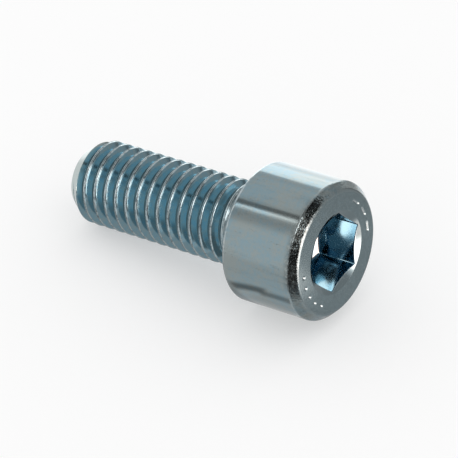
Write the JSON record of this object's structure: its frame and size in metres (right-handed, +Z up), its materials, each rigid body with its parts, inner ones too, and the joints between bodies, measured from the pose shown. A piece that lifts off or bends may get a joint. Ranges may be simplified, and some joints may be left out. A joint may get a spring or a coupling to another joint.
{
  "type": "hex socket cap screw",
  "caption": "Fully threaded hexagon socket head cap screw with a bevelled cylindrical head, a countersunk hex socket and a bevelled tip, lying on its side.",
  "frame": {"origin": "centre of the lying screw's bounding box, on the floor that it lies on", "axes": "+X along the screw from its tip to its head, +Z up. The screw's own axis rises by 7.43 degrees from the tip to the head, because the head's rim and the thread lie on one floor."},
  "size_m": [0.0356, 0.016, 0.017],
  "materials": {
    "zinc_plated_steel": "bright zinc plating with a blue passivation, satin on the head's side, glossy in the socket and on the thread flanks"
  },
  "bodies": {
    "root": {"cap_screw": "zinc_plated_steel"}
  },
  "joints": []
}
